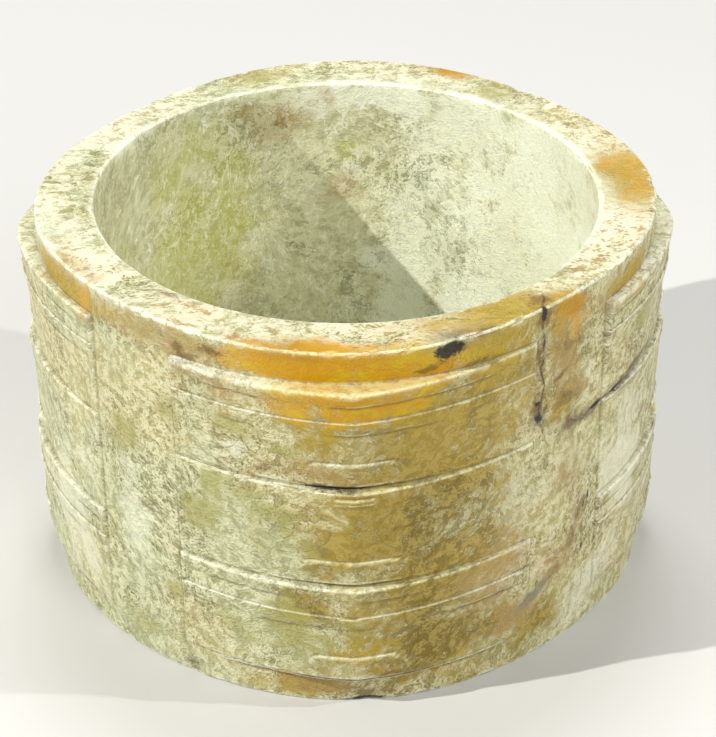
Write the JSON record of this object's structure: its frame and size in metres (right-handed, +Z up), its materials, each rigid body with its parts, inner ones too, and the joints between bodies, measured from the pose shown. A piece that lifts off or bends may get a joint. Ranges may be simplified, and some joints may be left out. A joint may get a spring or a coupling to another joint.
{
  "type": "jade cong",
  "caption": "Low square-shouldered jade ring with a wide round bore, carved corner panels in tiers of bands and nose bars.",
  "frame": {"origin": "middle of the flat underside, on the axis of the bore", "axes": "+Z up along the bore, -Y towards the corner panel at the front, +X towards the corner panel on the right"},
  "size_m": [0.0828, 0.0828, 0.0504],
  "materials": {
    "jade": "worn polish over mottled yellow-green and cream nephrite, with amber, brown and black inclusions"
  },
  "bodies": {
    "root": {"jade_cong": "jade"}
  },
  "joints": []
}
